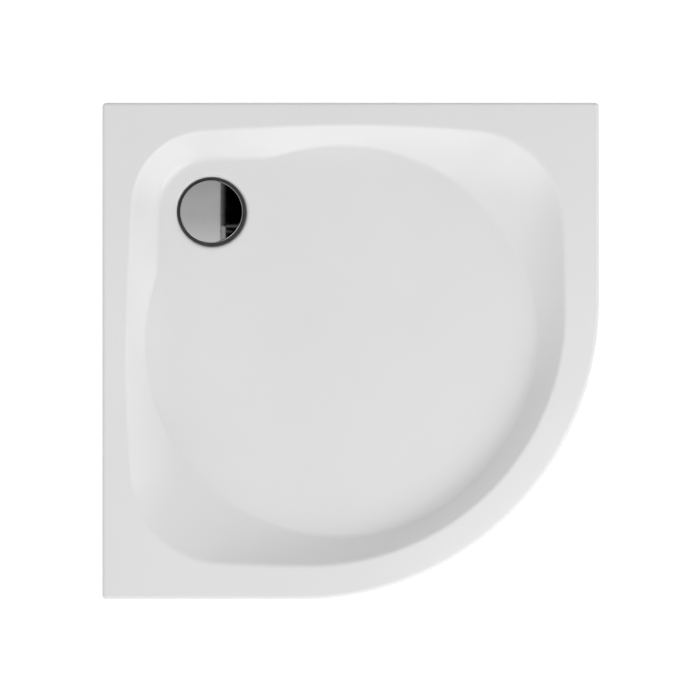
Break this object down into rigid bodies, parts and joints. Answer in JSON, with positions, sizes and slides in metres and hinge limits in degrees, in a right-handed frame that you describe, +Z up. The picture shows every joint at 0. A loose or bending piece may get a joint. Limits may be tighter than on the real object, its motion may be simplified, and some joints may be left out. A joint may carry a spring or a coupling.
{
  "type": "quadrant shower tray",
  "caption": "Low quadrant shower tray: white acrylic bowl with a sloped floor and corner waste, on a tube frame with levelling feet and a lift-out trap.",
  "frame": {"origin": "on the floor, under the middle of the tray's 900 x 900 square", "axes": "+Z up; -X and +Y are the two sides that stand against walls, with the waste in that corner; the curved front faces +X and -Y"},
  "size_m": [0.9, 0.9, 0.15],
  "materials": {
    "acrylic": "gloss white sanitary acrylic",
    "laminate": "sprayed glass-fibre laminate",
    "board": "raw chipboard, resin-wiped",
    "galvanised": "galvanised tube",
    "zinc": "bright zinc",
    "stainless": "pressed stainless",
    "rubber": "matt",
    "trap_plastic": "moulded polypropylene",
    "black_plastic": "moulded, satin",
    "chrome": "polished"
  },
  "bodies": {
    "tray": {"acrylic_shell": "acrylic", "laminate_backing": "laminate", "base_board": "board", "side_rail_left": "galvanised", "side_rail_right": "galvanised", "cross_rail_back": "galvanised", "cross_rail_front": "galvanised", "outrigger_rail": "galvanised", "rail_end_caps": "black_plastic", "board_screws": "zinc", "lock_nuts": "zinc", "weld_nuts": "zinc", "waste_flange": "stainless", "flange_seal": "rubber", "body_seal": "rubber", "flange_screws": "stainless", "trap_body": "trap_plastic", "outlet_seal": "rubber", "union_nut": "trap_plastic"},
    "insert": {"dip_tube": "trap_plastic", "seal_cup": "trap_plastic", "insert_seal": "rubber"},
    "cover": {"waste_cover": "chrome", "cover_carrier": "trap_plastic"},
    "outlet": {"outlet_spigot": "trap_plastic"},
    "pad_back_left": {"foot_pad_back_left": "black_plastic"},
    "stud_back_left": {"foot_stud_back_left": "zinc"},
    "pad_front_left": {"foot_pad_front_left": "black_plastic"},
    "stud_front_left": {"foot_stud_front_left": "zinc"},
    "pad_back_right": {"foot_pad_back_right": "black_plastic"},
    "stud_back_right": {"foot_stud_back_right": "zinc"},
    "pad_front_right": {"foot_pad_front_right": "black_plastic"},
    "stud_front_right": {"foot_stud_front_right": "zinc"},
    "pad_side": {"foot_pad_side": "black_plastic"},
    "stud_side": {"foot_stud_side": "zinc"}
  },
  "joints": [
    {"name": "insert_lift", "type": "slide", "parent": "tray", "child": "insert", "axis": [0, 0, 1], "range_m": [0, 0.12]},
    {"name": "cover_lift", "type": "slide", "parent": "insert", "child": "cover", "axis": [0, 0, 1], "range_m": [0, 0.1]},
    {"name": "outlet_swivel", "type": "hinge", "parent": "tray", "child": "outlet", "pos_m": [-0.256, 0.33, 0.038], "axis": [0, 0, 1], "range_deg": [-10, 10]},
    {"name": "foot_height_back_left", "type": "slide", "parent": "tray", "child": "pad_back_left", "axis": [0, 0, -1], "range_m": [-0.005, 0.035]},
    {"name": "stud_turn_back_left", "type": "hinge", "parent": "pad_back_left", "child": "stud_back_left", "pos_m": [-0.345, 0.365, 0.05], "axis": [0, 0, -1], "range_deg": [-1203, 8406]},
    {"name": "foot_height_front_left", "type": "slide", "parent": "tray", "child": "pad_front_left", "axis": [0, 0, -1], "range_m": [-0.005, 0.035]},
    {"name": "stud_turn_front_left", "type": "hinge", "parent": "pad_front_left", "child": "stud_front_left", "pos_m": [-0.345, -0.365, 0.05], "axis": [0, 0, -1], "range_deg": [-1203, 8406]},
    {"name": "foot_height_back_right", "type": "slide", "parent": "tray", "child": "pad_back_right", "axis": [0, 0, -1], "range_m": [-0.005, 0.035]},
    {"name": "stud_turn_back_right", "type": "hinge", "parent": "pad_back_right", "child": "stud_back_right", "pos_m": [0.215, 0.365, 0.05], "axis": [0, 0, -1], "range_deg": [-1203, 8406]},
    {"name": "foot_height_front_right", "type": "slide", "parent": "tray", "child": "pad_front_right", "axis": [0, 0, -1], "range_m": [-0.005, 0.035]},
    {"name": "stud_turn_front_right", "type": "hinge", "parent": "pad_front_right", "child": "stud_front_right", "pos_m": [0.215, -0.275, 0.05], "axis": [0, 0, -1], "range_deg": [-1203, 8406]},
    {"name": "foot_height_side", "type": "slide", "parent": "tray", "child": "pad_side", "axis": [0, 0, -1], "range_m": [-0.005, 0.035]},
    {"name": "stud_turn_side", "type": "hinge", "parent": "pad_side", "child": "stud_side", "pos_m": [0.37, 0.11, 0.05], "axis": [0, 0, -1], "range_deg": [-1203, 8406]}
  ],
  "couplings": [
    {"joint": "stud_turn_back_left", "follows": "foot_height_back_left", "rad_per_m": 4188.8},
    {"joint": "stud_turn_front_left", "follows": "foot_height_front_left", "rad_per_m": 4188.8},
    {"joint": "stud_turn_back_right", "follows": "foot_height_back_right", "rad_per_m": 4188.8},
    {"joint": "stud_turn_front_right", "follows": "foot_height_front_right", "rad_per_m": 4188.8},
    {"joint": "stud_turn_side", "follows": "foot_height_side", "rad_per_m": 4188.8}
  ]
}
